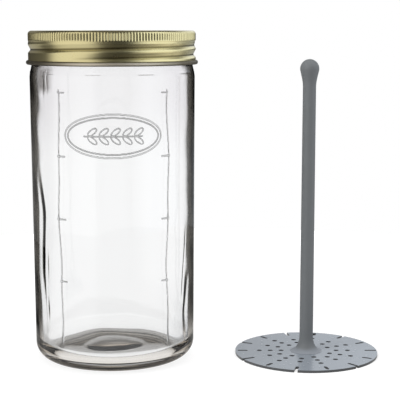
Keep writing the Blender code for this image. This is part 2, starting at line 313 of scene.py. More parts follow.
def point_values(radii, grid):
    """A grid's values in the order of a turned piece's points, where a row at the axis is one point."""
    rows = [values[:1] if row.max() < 1e-9 else values for row, values in zip(radii, grid)]
    return np.concatenate(rows)


def face_outwards(obj):
    shape = bmesh.new()
    shape.from_mesh(obj.data)
    bmesh.ops.recalc_face_normals(shape, faces=shape.faces)
    shape.to_mesh(obj.data)
    shape.free()


def even_angles(columns):
    return np.arange(columns) * math.tau / columns


def plain_grid(profile, angles):
    """Radii and heights of a turned form that is the same all round."""
    profile = np.array(profile)
    ones = np.ones(len(angles))
    return np.outer(profile[:, 0], ones), np.outer(profile[:, 1], ones)


def bead(distance, half_width, height):
    """The height of a rounded line at a distance from its middle."""
    share = np.clip(1 - (distance / half_width) ** 2, 0, 1)
    return height * share ** 2


def smooth_step(value, low, high):
    share = np.clip((value - low) / (high - low), 0, 1)
    return share * share * (3 - 2 * share)


class Waves:
    """A fixed sum of slow waves round and along the glass, from -1 to 1."""

    def __init__(self, seed, count, most_round, shortest):
        draw = random.Random(seed)
        self.waves = [
            (draw.randint(1, most_round), math.tau / draw.uniform(shortest, 5 * shortest),
             draw.uniform(0, math.tau), draw.uniform(0.5, 1.0))
            for _ in range(count)
        ]

    def at(self, angles, heights):
        total = 0
        for turns, rate, phase, size in self.waves:
            total = total + size * np.sin(turns * angles + rate * heights + phase)
        return total / sum(size for *_, size in self.waves)


# Thread

def fade(along, length):
    """0 at the ends of a thread and 1 where it has its full depth."""
    share = np.clip(np.minimum(along, length - along) / GROOVE_FADE_ANGLE, 0, 1)
    return np.sin(math.pi / 2 * share)


def helix_share(angles, heights, raised, upper_width, lower_width):
    """From 0 to 1, how near a place is to the helix of the thread, or to one raised above it."""
    length = GROOVE_TURNS * math.tau
    nearest = np.zeros_like(heights)
    along = (GROOVE_START_ANGLE - angles) % math.tau
    for _ in range(math.ceil(GROOVE_TURNS)):
        rise = heights - (BAND_TOP_Z - GROOVE_DROP - THREAD_PITCH * along / math.tau + raised)
        off = np.clip(np.where(rise > 0, rise / upper_width, -rise / lower_width), 0, 1)
        share = np.cos(math.pi / 2 * off) ** 2 * fade(along, length)
        nearest = np.maximum(nearest, np.where(along < length, share, 0))
        along = along + math.tau
    return nearest


def groove_share(angles, heights):
    """How deep the band's rolled groove is, from 0 to 1."""
    return helix_share(angles, heights, 0.0, GROOVE_UPPER_WIDTH, GROOVE_LOWER_WIDTH)


def thread_share(angles, heights):
    """How high the bead on the glass is, from 0 to 1, where the band bulges between two turns of its groove."""
    return helix_share(angles, heights, THREAD_PITCH - GROOVE_LOWER_WIDTH, THREAD_HALF_WIDTH, THREAD_HALF_WIDTH)


# Moulded marks

def oval_line(across, up, half_width, half_height, mark_half_width, mark_height):
    """A raised line round an oval, at places measured across and up from its middle."""
    reach = np.sqrt((across / half_width) ** 2 + (up / half_height) ** 2) + 1e-9
    slope = np.sqrt((across / half_width ** 2) ** 2 + (up / half_height ** 2) ** 2) / reach + 1e-9
    return bead((reach - 1) / slope, mark_half_width, mark_height)


def straight_line(across, up, start, end, mark_half_width, mark_height):
    """A raised line from one (across, up) to another."""
    start, end = np.array(start), np.array(end)
    run = end - start
    share = ((across - start[0]) * run[0] + (up - start[1]) * run[1]) / (run @ run)
    share = np.clip(share, 0, 1)
    distance = np.hypot(across - start[0] - share * run[0], up - start[1] - share * run[1])
    return bead(distance, mark_half_width, mark_height)


def sprig(across, up):
    """A plain leafy sprig: a stem with pairs of outlined leaves."""
    height = straight_line(
        across, up, (-SPRIG_HALF_LENGTH, 0), (SPRIG_HALF_LENGTH, 0), MARK_HALF_WIDTH, MARK_HEIGHT * 0.8
    )
    for pair in range(LEAF_PAIRS):
        root = SPRIG_HALF_LENGTH * (2 * (pair + 0.5) / LEAF_PAIRS - 1) - LEAF_HALF_LENGTH / 2
        for side in (-1, 1):
            cos, sin = math.cos(LEAF_TILT), side * math.sin(LEAF_TILT)
            centre = (root + LEAF_HALF_LENGTH * 1.25 * cos, LEAF_HALF_LENGTH * 1.25 * sin)
            x, y = across - centre[0], up - centre[1]
            along, aside = x * cos + y * sin, -x * sin + y * cos
            height = np.maximum(
                height,
                oval_line(along, aside, LEAF_HALF_LENGTH, LEAF_HALF_WIDTH, MARK_HALF_WIDTH * 0.8, MARK_HEIGHT * 0.8),
            )
    return height


def tick_heights():
    """The marks of the scale, from the lowest that is labelled to the top one."""
    span = SCALE_TOP_Z - SCALE_LOW_Z
    return [SCALE_TOP_Z - span * 0.2463 * tick for tick in range(SCALE_TICKS)]


def scale_marks(across, up):
    """Two lines down the front with short marks that point inwards."""
    height = np.zeros_like(across)
    for side in (-1, 1):
        wander = SCALE_WANDER * (np.sin(up * 60 + side) + 0.5 * np.sin(up * 145 + 2 * side))
        place = side * SCALE_ANGLE * BODY_RADIUS + wander
        ends = smooth_step(up, SCALE_LOW_Z - 0.001, SCALE_LOW_Z + 0.001)
        ends = ends * (1 - smooth_step(up, SCALE_TOP_Z, SCALE_TOP_Z + 0.0008))
        for tick in tick_heights()[1:]:
            ends = ends * (1 - bead(up - tick - TICK_GAP_RISE, TICK_GAP_HALF, 0.9))
        height = np.maximum(height, bead(across - place, MARK_HALF_WIDTH, MARK_HEIGHT) * ends)
        for tick in tick_heights():
            start = side * SCALE_ANGLE * BODY_RADIUS
            mark = straight_line(
                across, up, (start, tick), (start - side * TICK_LENGTH, tick), MARK_HALF_WIDTH, MARK_HEIGHT * 0.9
            )
            height = np.maximum(height, mark)
        for tick in tick_heights()[1:]:
            dot = bead(np.hypot(across - place, up - tick), TICK_DOT_RADIUS, MARK_HEIGHT)
            height = np.maximum(height, dot)
    return height


def marks_height(angles, heights):
    across = ((angles - FRONT_ANGLE + math.pi) % math.tau - math.pi) * BODY_RADIUS
    up = heights - OVAL_Z
    height = oval_line(across, up, OVAL_HALF_WIDTH, OVAL_HALF_HEIGHT, MARK_HALF_WIDTH, MARK_HEIGHT)
    inner = oval_line(
        across, up, OVAL_HALF_WIDTH - OVAL_LINE_GAP, OVAL_HALF_HEIGHT - OVAL_LINE_GAP, MARK_HALF_WIDTH, MARK_HEIGHT * 0.8
    )
    height = np.maximum(height, inner)
    height = np.maximum(height, sprig(across, up))
    return np.maximum(height, scale_marks(across, heights))


def crease(angles, heights, half_width, rise, route):
    """A smooth upright ridge along a route of (height, degrees from the front), fading at both ends."""
    ends, places = zip(*route)
    off = (angles - FRONT_ANGLE - np.radians(np.interp(heights, ends, places)) + math.pi) % math.tau - math.pi
    fading = (ends[-1] - ends[0]) / 4
    share = smooth_step(heights, ends[0], ends[0] + fading)
    share = share * (1 - smooth_step(heights, ends[-1] - fading, ends[-1]))
    return bead(off, math.radians(half_width), rise) * share


def shoulder_line(angles, heights):
    """A low line round the glass, broken into dashes."""
    dashes = np.clip(0.3 + np.sin(10 * (angles - FRONT_ANGLE) + 3.84), 0, 1)
    return bead(heights - SHOULDER_LINE_Z, SHOULDER_LINE_HALF_WIDTH, SHOULDER_LINE_HEIGHT) * dashes


# Glass jar

def jar_columns():
    """Angles round the jar, close together where the marks are."""
    fine, coarse = math.radians(0.35), math.radians(2.2)
    edge = math.radians(74)
    front = np.arange(-edge, edge, fine)
    rest = np.linspace(edge, math.tau - edge, round((math.tau - 2 * edge) / coarse), endpoint=False)
    return np.concatenate([front, rest]) + FRONT_ANGLE


def body_heights():
    """Heights down the outside of the body, close together across the oval and the scale's marks."""
    fine, coarse, reach = 0.0003, 0.0016, 0.0012
    zones = [(OVAL_Z - OVAL_HALF_HEIGHT - reach, OVAL_Z + OVAL_HALF_HEIGHT + reach)]
    zones += [(tick - reach, tick + reach) for tick in tick_heights()]
    heights, z = [], SHOULDER_LOW_Z
    while z > HEEL_ROUND:
        heights.append(z)
        z -= fine if any(low <= z <= high for low, high in zones) else coarse
    return heights + [HEEL_ROUND]


def jar_profile():
    """The glass in section, as rows (radius, height, 1 for the outside or 0 for the inside)."""
    inner_base = BASE_RADIUS - BODY_WALL
    inner_body = BODY_RADIUS - BODY_WALL
    ring_z = FLOOR_TOP_Z - FLOOR_DOME_RISE
    foot_outer = BASE_RADIUS - HEEL_ROUND
    foot_inner = foot_outer - FOOT_WIDTH
    hollow_radius = foot_inner - FOOT_RECESS
    floor_corner = (inner_base - FLOOR_ROUND, ring_z + FLOOR_ROUND)
    inside = domed(FLOOR_DOME_RADIUS, FLOOR_TOP_Z, FLOOR_DOME_RISE, 10)
    inside += line((FLOOR_DOME_RADIUS, ring_z), (floor_corner[0], ring_z), 0.002)
    inside += arc(floor_corner, FLOOR_ROUND, -90, 0, 14)
    inside += line((inner_base, floor_corner[1]), (inner_body, SHOULDER_LOW_Z), 0.003)
    inside += eased((inner_body, SHOULDER_LOW_Z), (MOUTH_RADIUS, SHOULDER_TOP_Z), 10)
    inside += line((MOUTH_RADIUS, SHOULDER_TOP_Z), (MOUTH_RADIUS, GLASS_HEIGHT - RIM_ROUND), 0.003)
    rim = arc((MOUTH_RADIUS + RIM_ROUND, GLASS_HEIGHT - RIM_ROUND), RIM_ROUND, 180, 90, 5)
    rim += arc((NECK_RADIUS - RIM_ROUND, GLASS_HEIGHT - RIM_ROUND), RIM_ROUND, 90, 0, 5)
    outside = line((NECK_RADIUS, GLASS_HEIGHT - RIM_ROUND), (NECK_RADIUS, SHOULDER_TOP_Z), 0.00045)
    outside += eased((NECK_RADIUS, SHOULDER_TOP_Z), (BODY_RADIUS, SHOULDER_LOW_Z), 30)
    for z in body_heights()[1:]:
        share = (SHOULDER_LOW_Z - z) / (SHOULDER_LOW_Z - HEEL_ROUND)
        outside.append((BODY_RADIUS + (BASE_RADIUS - BODY_RADIUS) * share, z))
    outside += arc((foot_outer, HEEL_ROUND), HEEL_ROUND, 0, -90, 18)
    outside += [(foot_inner, 0.0), (hollow_radius, FOOT_RECESS)]
    under = domed(hollow_radius, BASE_HOLLOW, BASE_HOLLOW - FOOT_RECESS, 10)[::-1]
    inner = [(radius, z, 0.0) for radius, z in without_repeats(inside)]
    outer = [(radius, z, 1.0) for radius, z in without_repeats(rim + outside + under)]
    return np.array(inner + outer[1:])


def make_jar(material):
    profile = jar_profile()
    angles = jar_columns()
    ones = np.ones(len(angles))
    radii, heights = np.outer(profile[:, 0], ones), np.outer(profile[:, 1], ones)
    outside = np.outer(profile[:, 2], ones)
    turns = np.outer(np.ones(len(profile)), angles)
    wall = smooth_step(heights, FLOOR_TOP_Z, FLOOR_TOP_Z + 0.012)
    wall = wall * (1 - smooth_step(heights, SHOULDER_LOW_Z, SHOULDER_TOP_Z))
    body = wall * (radii > BASE_RADIUS * 0.8)
    inner_waves = Waves(WAVE_SEED, 14, 9, 0.022).at(turns, heights)
    creases = sum(crease(turns, heights, *values) for values in CREASES)
    skin_waves = Waves(WAVE_SEED + 1, 10, 14, 0.012).at(turns, heights)
    low_down = 1 + 0.8 * (1 - smooth_step(heights, FLOOR_TOP_Z, 0.09))
    radii += (1 - outside) * body * (WAVE_DEPTH * low_down * inner_waves - creases)
    radii += outside * body * SKIN_WAVE_DEPTH * skin_waves
    marks = marks_height(turns, heights)
    radii += outside * body * marks + outside * wall * shoulder_line(turns, heights)
    on_neck = outside * (heights > SHOULDER_TOP_Z) * (radii > NECK_RADIUS - RIM_ROUND / 10)
    bead_height = BAND_BORE - NECK_GAP - NECK_RADIUS
    radii += on_neck * bead_height * thread_share(turns, heights)
    jar = turned_piece("jar_glass", JAR_X, radii, heights, angles, material)
    # the flanks of the moulded marks, where the glass gets painted shade
    share = np.sqrt(np.clip(marks / MARK_HEIGHT, 0, 1))
    flank = outside * body * 4 * share * (1 - share)
    edges = jar.data.attributes.new("mark_edge", "FLOAT", "POINT")
    edges.data.foreach_set("value", point_values(radii, flank))
    inner_wall = jar.data.attributes.new("inner_wall", "FLOAT", "POINT")
    inner_wall.data.foreach_set("value", point_values(radii, (1 - outside) * wall))
    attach(jar, "jar")
    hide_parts("jar")
    return jar


# Screw band

def band_profile():
    """The band in section, as rows (radius, height, 1 on the lacquered outer face or 0 on the bare inner one)."""
    flange_inner = BAND_RADIUS - BAND_FLANGE_WIDTH
    corner = (BAND_RADIUS - BAND_CORNER_ROUND, BAND_TOP_Z - BAND_CORNER_ROUND)
    curl_low = BAND_LOW_Z
    curl_middle = (BAND_BORE + (CURL_OUTER - BAND_BORE) / 2, curl_low + CURL_HEIGHT / 2)
    curl_half = (CURL_OUTER - BAND_BORE) / 2
    crease_z = curl_low + CURL_HEIGHT
    inner_corner_round = BAND_CORNER_ROUND - BAND_SHEET
    under_z = BAND_TOP_Z - BAND_SHEET
    outer = arc((flange_inner + BAND_SHEET / 2, under_z + BAND_SHEET / 2), BAND_SHEET / 2, 180, 90, 4)
    outer += line((flange_inner + BAND_SHEET / 2, BAND_TOP_Z), (corner[0], BAND_TOP_Z), 0.0015)
    outer += arc(corner, BAND_CORNER_ROUND, 90, 0, 9)
    outer += line((BAND_RADIUS, corner[1]), (BAND_RADIUS, crease_z), 0.00028)
    inner = arc(curl_middle, curl_half, 130, -180, 18, CURL_HEIGHT / 2)
    inner += line((BAND_BORE, curl_middle[1]), (BAND_BORE, corner[1]), 0.0007)
    inner += arc(corner, inner_corner_round, 0, 90, 5)
    inner += line((corner[0], under_z), (flange_inner + BAND_SHEET / 2, under_z), 0.002)
    inner += arc((flange_inner + BAND_SHEET / 2, under_z + BAND_SHEET / 2), BAND_SHEET / 2, 270, 180, 4)[:-1]
    rows = [(radius, z, 1.0) for radius, z in without_repeats(outer)]
    return np.array(rows + [(radius, z, 0.0) for radius, z in without_repeats(inner)])


def make_band(material):
    profile = band_profile()
    columns = FLUTES * COLUMNS_PER_FLUTE
    angles = even_angles(columns)
    ones = np.ones(columns)
    radii, heights = np.outer(profile[:, 0], ones), np.outer(profile[:, 1], ones)
    outer = np.outer(profile[:, 2], ones)
    turns = np.outer(np.ones(len(profile)), angles)
    drop = BAND_TOP_Z - heights
    crease_z = BAND_LOW_Z + CURL_HEIGHT
    on_wall = (radii > BAND_BORE - BAND_SHEET / 10) * (heights > crease_z)
    radii -= on_wall * GROOVE_DEPTH * groove_share(turns, heights)
    crease_share = on_wall * outer * helix_share(turns, heights, 0.0, GROOVE_CREASE_WIDTH, GROOVE_CREASE_WIDTH)
    radii -= GROOVE_CREASE_DEPTH * crease_share
    fluted = smooth_step(drop, FLUTE_TOP_DROP - FLUTE_EASE, FLUTE_TOP_DROP + FLUTE_EASE)
    fluted = fluted * (1 - smooth_step(drop, FLUTE_LOW_DROP - FLUTE_EASE, FLUTE_LOW_DROP + FLUTE_EASE))
    valley = 1 - np.abs(np.cos(FLUTES / 2 * turns))
    radii -= outer * fluted * FLUTE_DEPTH * valley
    necking = bead(drop - NECKING_DROP, NECKING_HALF_WIDTH, NECKING_DEPTH)
    radii -= on_wall * outer * necking
    band = turned_piece("gold_band", JAR_X, radii, heights, angles, material, closed=True)
    lacquer = band.data.attributes.new("lacquer", "FLOAT", "POINT")
    lacquer.data.foreach_set("value", np.repeat(profile[:, 2], columns))
    # painted shade in the crease at the groove's bottom and in the flutes' valleys
    pooled = np.maximum(crease_share, FLUTE_SHADE * outer * fluted * smooth_step(valley, 0.6, 1.0))
    creases = band.data.attributes.new("crease", "FLOAT", "POINT")
    creases.data.foreach_set("value", pooled.ravel())
    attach(band, "screw_band")
    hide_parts("screw_band")
    return band


# Lid disc and sealing ring

def disc_profile():
    """The disc in section: its upper face from the middle to the edge, then its lower face back."""
    step_outer = MOUTH_RADIUS - DISC_CLEARANCE
    step_inner = step_outer - DISC_STEP
    ring_inner = step_inner - DISC_RING_WIDTH
    seat_z = DISC_TOP_Z
    ring_z = seat_z - DISC_STEP
    panel_z = ring_z + DISC_PANEL_RISE
    button_z = panel_z + DISC_BUTTON_RISE
    upper = line((0.0, button_z), (DISC_BUTTON_RADIUS - DISC_SLOPE, button_z), 0.003)
    upper += smooth_run((DISC_BUTTON_RADIUS - DISC_SLOPE, button_z), (DISC_BUTTON_RADIUS, panel_z))
    upper += line((DISC_BUTTON_RADIUS, panel_z), (ring_inner - DISC_SLOPE, panel_z), 0.003)
    upper += smooth_run((ring_inner - DISC_SLOPE, panel_z), (ring_inner, ring_z))
    upper += [(step_inner, ring_z)] + smooth_run((step_inner, ring_z), (step_outer, seat_z))
    upper += line((step_outer, seat_z), (DISC_RADIUS - DISC_SHEET / 2, seat_z), 0.001)
    upper = without_repeats(upper)
    edge = arc((DISC_RADIUS - DISC_SHEET / 2, seat_z - DISC_SHEET / 2), DISC_SHEET / 2, 90, -90, 6)
    lower = [(radius, z - DISC_SHEET) for radius, z in upper[::-1]]
    return without_repeats(upper + edge + lower)


def smooth_run(start, end, steps=6):
    """Points of a smooth S that is level at both ends."""
    shares = [index / steps for index in range(steps + 1)]
    return [
        (start[0] + (end[0] - start[0]) * t, start[1] + (end[1] - start[1]) * t * t * (3 - 2 * t))
        for t in shares
    ]


def make_disc(material):
    angles = even_angles(160)
    radii, heights = plain_grid(disc_profile(), angles)
    disc = turned_piece("gold_disc", JAR_X, radii, heights, angles, material)
    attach(disc, "lid_disc")
    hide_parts("lid_disc")
    return disc


def make_seal(material):
    """A soft ring with rounded sides that fills its place between the disc and the rim."""
    outer, inner = SEAL_OUTER, MOUTH_RADIUS + SEAL_MARGIN
    half = (SEAL_TOP_Z - SEAL_LOW_Z) / 2
    middle_z = SEAL_LOW_Z + half
    profile = arc((outer - half, middle_z), half, 90, -90, 8)
    profile += arc((inner + half, middle_z), half, 270, 90, 8)
    angles = even_angles(128)
    radii, heights = plain_grid(profile, angles)
    seal = turned_piece("sealing_ring", JAR_X, radii, heights, angles, material, closed=True)
    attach(seal, "lid_disc")
    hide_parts("seal_ring")
    return seal


# Lifter

def spoke_angle(spoke):
    return math.tau * spoke / SPOKES


def polar(radius, angle):
    return (radius * math.cos(angle), radius * math.sin(angle))


def on_spoke(angle, points):
    """Points (along, across) of a spoke, turned to the spoke's angle."""
    cos, sin = math.cos(angle), math.sin(angle)
    return [(along * cos - across * sin, along * sin + across * cos) for along, across in points]


def slot_end(middle, side):
    """The round end of a slot: side is -1 for its inner end and 1 for its outer end."""
    start, end = (90, 270) if side < 0 else (-90, 90)
    return arc((middle, 0.0), SLOT_WIDTH / 2, start, end, 8)


def rim_outline():
    """The plate's edge, with a slot open to it at every second spoke."""
    half_slot_angle = math.asin(SLOT_WIDTH / 2 / PLATE_RADIUS)
    points = []
    for spoke in range(0, SPOKES, 2):
        angle = spoke_angle(spoke)
        inner = slot_end(PLATE_RADIUS * SLOT_INNER_SHARE + SLOT_WIDTH / 2, -1)
        points.append(polar(PLATE_RADIUS, angle - half_slot_angle))
        points += on_spoke(angle, inner[::-1])
        span = spoke_angle(2) - 2 * half_slot_angle
        steps = 30
        for step in range(steps):
            points.append(polar(PLATE_RADIUS, angle + half_slot_angle + span * step / steps))
    return points


def closed_slot(angle):
    inner = slot_end(PLATE_RADIUS * SLOT_INNER_SHARE + SLOT_WIDTH / 2, -1)
    outer = slot_end(PLATE_RADIUS * SLOT_OUTER_SHARE - SLOT_WIDTH / 2, 1)
    return on_spoke(angle, inner + outer)


def round_hole(centre, radius, sides=24):
    turns = [math.tau * side / sides for side in range(sides)]
    return [(centre[0] + radius * math.cos(a), centre[1] + radius * math.sin(a)) for a in turns]


def plate_outlines():
    outlines = [rim_outline(), round_hole((0.0, 0.0), SPIGOT_RADIUS + SPIGOT_CLEARANCE, 48)]
    for spoke in range(SPOKES):
        angle = spoke_angle(spoke)
        shares = CLOSED_SPOKE_HOLE_SHARES if spoke % 2 else OPEN_SPOKE_HOLE_SHARES
        for share in shares:
            outlines.append(round_hole(polar(PLATE_RADIUS * share, angle), HOLE_RADIUS))
        if spoke % 2:
            outlines.append(closed_slot(angle))
    return outlines


def make_plate(material):
    """The plate from its outlines, with its edges eased by a small bevel."""
    data = bpy.data.curves.new("strainer_outline", "CURVE")
    data.dimensions = "2D"
    data.fill_mode = "BOTH"
    data.extrude = PLATE_THICKNESS / 2
    for outline in plate_outlines():
        spline = data.splines.new("POLY")
        spline.points.add(len(outline) - 1)
        for point, (x, y) in zip(spline.points, outline):
            point.co = (x, y, 0.0, 1.0)
        spline.use_cyclic_u = True
    curve = bpy.data.objects.new("strainer_outline", data)
    bpy.context.scene.collection.objects.link(curve)
    graph = bpy.context.evaluated_depsgraph_get()
    mesh = bpy.data.meshes.new_from_object(curve.evaluated_get(graph))
    bpy.data.objects.remove(curve, do_unlink=True)
    shape = bmesh.new()
    shape.from_mesh(mesh)
    bmesh.ops.remove_doubles(shape, verts=shape.verts, dist=1e-6)
    bmesh.ops.recalc_face_normals(shape, faces=shape.faces)
    shape.to_mesh(mesh)
    shape.free()
    mesh.transform(Matrix.Translation((LIFTER_X, 0.0, PLATE_THICKNESS / 2)))
    mesh.materials.clear()
    mesh.materials.append(material)
    mesh.shade_smooth()
    mesh.set_sharp_from_angle(angle=math.radians(40))
    plate = bpy.data.objects.new("strainer_disc", mesh)
    bpy.context.scene.collection.objects.link(plate)
    easing = plate.modifiers.new("Eased edges", "BEVEL")
    easing.width = PLATE_EDGE_ROUND
    easing.segments = 3
    easing.limit_method = "ANGLE"
    easing.angle_limit = math.radians(50)
    flatter = plate.modifiers.new("Flat faces", "WEIGHTED_NORMAL")
    flatter.mode = "FACE_AREA"
    flatter.weight = 100
    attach(plate, "lifter")
    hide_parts("strainer_plate")
    return plate


def stem_profile():
    """The stem from the top of its ball down its side, through the flare, to the spigot in the plate."""
    ball_z = LIFTER_HEIGHT - BALL_RADIUS
    low_angle = -14
    neck_top = (BALL_RADIUS * math.cos(math.radians(low_angle)), ball_z + BALL_RADIUS * math.sin(math.radians(low_angle)))
    taper_low = (STEM_RADIUS, ball_z - NECK_TAPER)
    flare_top = PLATE_THICKNESS + FLARE_EDGE + FLARE_HEIGHT
    profile = arc((0.0, ball_z), BALL_RADIUS, 90, low_angle, 26)
    profile[0] = (0.0, LIFTER_HEIGHT)
    profile += bezier(neck_top, (neck_top[0] - 0.0009, neck_top[1] - 0.0040), (STEM_RADIUS + 0.0001, taper_low[1] + 0.0034), taper_low, 14)
    profile += line(taper_low, (STEM_FOOT_RADIUS, flare_top), 0.006)
    for step in range(1, 25):
        turn = math.pi / 2 * step / 24
        radius = FLARE_RADIUS - (FLARE_RADIUS - STEM_FOOT_RADIUS) * math.cos(turn)
        profile.append((radius, flare_top - FLARE_HEIGHT * math.sin(turn)))
    profile += [(FLARE_RADIUS, PLATE_THICKNESS + FLARE_EDGE / 4), (FLARE_RADIUS - FLARE_EDGE, PLATE_THICKNESS)]
    profile += line((FLARE_RADIUS - FLARE_EDGE, PLATE_THICKNESS), (SPIGOT_RADIUS, PLATE_THICKNESS), 0.002)
    profile += line((SPIGOT_RADIUS, PLATE_THICKNESS), (SPIGOT_RADIUS, SPIGOT_CLEARANCE), 0.001)
    profile += [(0.0, SPIGOT_CLEARANCE)]
    return without_repeats(profile)


def bezier(a, b, c, d, steps):
    points = []
    for index in range(steps + 1):
        t = index / steps
        weights = ((1 - t) ** 3, 3 * t * (1 - t) ** 2, 3 * t * t * (1 - t), t ** 3)
        points.append(tuple(sum(w * p[axis] for w, p in zip(weights, (a, b, c, d))) for axis in (0, 1)))
    return points


def make_stem(material):
    angles = even_angles(96)
    radii, heights = plain_grid(stem_profile(), angles)
    stem = turned_piece("lifter_handle", LIFTER_X, radii, heights, angles, material)
    stem.data.set_sharp_from_angle(angle=math.radians(50))
    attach(stem, "lifter")
    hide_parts("lifter_stem")
    return stem


# Node helpers

def nodes_of(owner):
    owner.use_nodes = True
    tree = owner.node_tree
    tree.nodes.clear()
    return tree


def add(tree, kind, settings=None, **inputs):
    """A node with its settings, and with inputs that are values or other nodes' outputs."""
    node = tree.nodes.new(kind)
    for key, value in (settings or {}).items():
        setattr(node, key, value)
    for key, value in inputs.items():
        socket = node.inputs[int(key[1:])] if key[0] == "i" and key[1:].isdigit() else node.inputs[key.replace("_", " ")]
        if isinstance(value, bpy.types.NodeSocket):
            tree.links.new(value, socket)
        else:
            socket.default_value = value
    return node


def maths(tree, operation, *values, clamp=False):
    node = add(tree, "ShaderNodeMath", {"operation": operation, "use_clamp": clamp},
               **{f"i{index}": value for index, value in enumerate(values)})
    return node.outputs[0]


def ramp(tree, factor, stops, mode="LINEAR"):
    node = add(tree, "ShaderNodeValToRGB", i0=factor)
    node.color_ramp.interpolation = mode
    elements = node.color_ramp.elements
    while len(elements) < len(stops):
        elements.new(0.5)
    for element, (place, colour) in zip(elements, stops):
        element.position = place
        element.color = (*colour, 1.0) if len(colour) == 3 else colour
    return node.outputs["Color"]


def grey(value):
    return (value, value, value)


def noise(tree, scale, detail=3.0, roughness=0.5, vector=None):
    node = add(tree, "ShaderNodeTexNoise", Scale=scale, Detail=detail, Roughness=roughness)
    if vector is not None:
        tree.links.new(vector, node.inputs["Vector"])
    return node.outputs["Fac"]


def object_place(tree):
    return add(tree, "ShaderNodeTexCoord").outputs["Object"]


def stretched(tree, vector, scale):
    return add(tree, "ShaderNodeMapping", Vector=vector, Scale=scale).outputs["Vector"]


def mix_colour(tree, factor, first, second, blend="MIX"):
    node = tree.nodes.new("ShaderNodeMix")
    node.data_type = "RGBA"
    node.blend_type = blend
    for index, value in ((0, factor), (6, first), (7, second)):
        if isinstance(value, bpy.types.NodeSocket):
            tree.links.new(value, node.inputs[index])
        else:
            node.inputs[index].default_value = (*value, 1.0) if index > 0 and len(value) == 3 else value
    return node.outputs[2]


def bump(tree, height, strength, distance):
    return add(tree, "ShaderNodeBump", Strength=strength, Distance=distance, Height=height).outputs["Normal"]


def new_material(name):
    material = bpy.data.materials.new(name)
    return material, nodes_of(material)


def surface(tree, shader):
    output = tree.nodes.new("ShaderNodeOutputMaterial")
    tree.links.new(shader, output.inputs["Surface"])


# Finishes

def glass_material():
    """Clear glass with painted shade where light is thrown back inside its wall, and at its extreme edges."""
    material, tree = new_material("clear_glass")
    facing = add(tree, "ShaderNodeLayerWeight", Blend=0.5).outputs["Facing"]
    # painted shade: both faces of the glass darken as they turn away from the eye, and lighten again at the very edge
    skin = ramp(tree, facing, [(0.0, (0.985, 0.988, 0.988)), (0.35, (0.985, 0.987, 0.988)),
                               (0.60, (0.96, 0.96, 0.962)), (0.66, (0.50, 0.495, 0.485)),
                               (0.84, (0.40, 0.395, 0.385)), (0.95, (0.85, 0.85, 0.85))])
    inner_skin = ramp(tree, facing, [(0.0, (0.985, 0.987, 0.988)), (0.76, (0.96, 0.96, 0.962)),
                                     (0.88, (0.42, 0.415, 0.405)), (0.96, (0.85, 0.85, 0.85))])
    inner_wall = add(tree, "ShaderNodeAttribute", {"attribute_name": "inner_wall"}).outputs["Fac"]
    place = object_place(tree)
    parts = add(tree, "ShaderNodeSeparateXYZ", Vector=place)
    height = parts.outputs["Z"]
    # painted shade: the left shoulder, where the wall is thickest, turns the light aside, and a grey is painted on its
    # inner wall there
    at_shoulder = maths(tree, "MULTIPLY", smooth_range(tree, height, 0.156, 0.162), smooth_range(tree, facing, 0.35, 0.52))
    at_shoulder = maths(tree, "MULTIPLY", at_shoulder, smooth_range(tree, parts.outputs["X"], JAR_X, JAR_X - 0.03))
    inner_skin = mix_colour(tree, at_shoulder, inner_skin, (0.30, 0.285, 0.27))
    skin = mix_colour(tree, inner_wall, skin, inner_skin)
    # painted shade: the glass is a little darker high up, and more so towards its sides there
    high_up = smooth_range(tree, height, 0.115, 0.160)
    skin = mix_colour(tree, high_up, skin, (0.967, 0.963, 0.967), blend="MULTIPLY")
    to_side = maths(tree, "MULTIPLY", high_up, smooth_range(tree, facing, 0.10, 0.40))
    skin = mix_colour(tree, to_side, skin, (0.965, 0.960, 0.965), blend="MULTIPLY")
    low_down = smooth_range(tree, height, 0.030, 0.013)
    caught = mix_colour(tree, low_down, TRAPPED_TINT, BASE_TRAPPED_TINT)
    # painted shade: the glass is darker and browner in its lowest few millimetres
    skin = mix_colour(tree, smooth_range(tree, height, 0.0062, 0.0042), skin, (0.76, 0.73, 0.69))
    # painted shade where light is thrown back inside the wall past the critical angle, less dark near the foot
    past = smooth_range(tree, facing, TRAPPED_FACING - 0.03, TRAPPED_FACING)
    trapped = mix_colour(tree, past, grey(1.0), caught)
    inside = add(tree, "ShaderNodeNewGeometry").outputs["Backfacing"]
    tint = mix_colour(tree, inside, skin, trapped)
    # painted shade on the flanks of the moulded marks
    edge = add(tree, "ShaderNodeAttribute", {"attribute_name": "mark_edge"}).outputs["Fac"]
    tint = mix_colour(tree, edge, tint, MARK_TINT, blend="MULTIPLY")
    ripple = noise(tree, 55.0, 2.0, 0.5, stretched(tree, place, (1.0, 1.0, 0.35)))
    shader = add(tree, "ShaderNodeBsdfGlass", Color=tint, Roughness=0.01, IOR=GLASS_IOR)
    tree.links.new(bump(tree, ripple, 0.06, 0.002), shader.inputs["Normal"])
    paths = add(tree, "ShaderNodeLightPath")
    unseen = maths(tree, "MAXIMUM", paths.outputs["Is Shadow Ray"], paths.outputs["Is Diffuse Ray"])
    clear = add(tree, "ShaderNodeBsdfTransparent", Color=ramp(tree, facing, [(0.0, grey(0.96)), (0.6, grey(0.9)), (1.0, grey(0.45))]))
    mixed = add(tree, "ShaderNodeMixShader", i0=unseen, i1=shader.outputs[0], i2=clear.outputs[0])
    surface(tree, mixed.outputs[0])
    return material


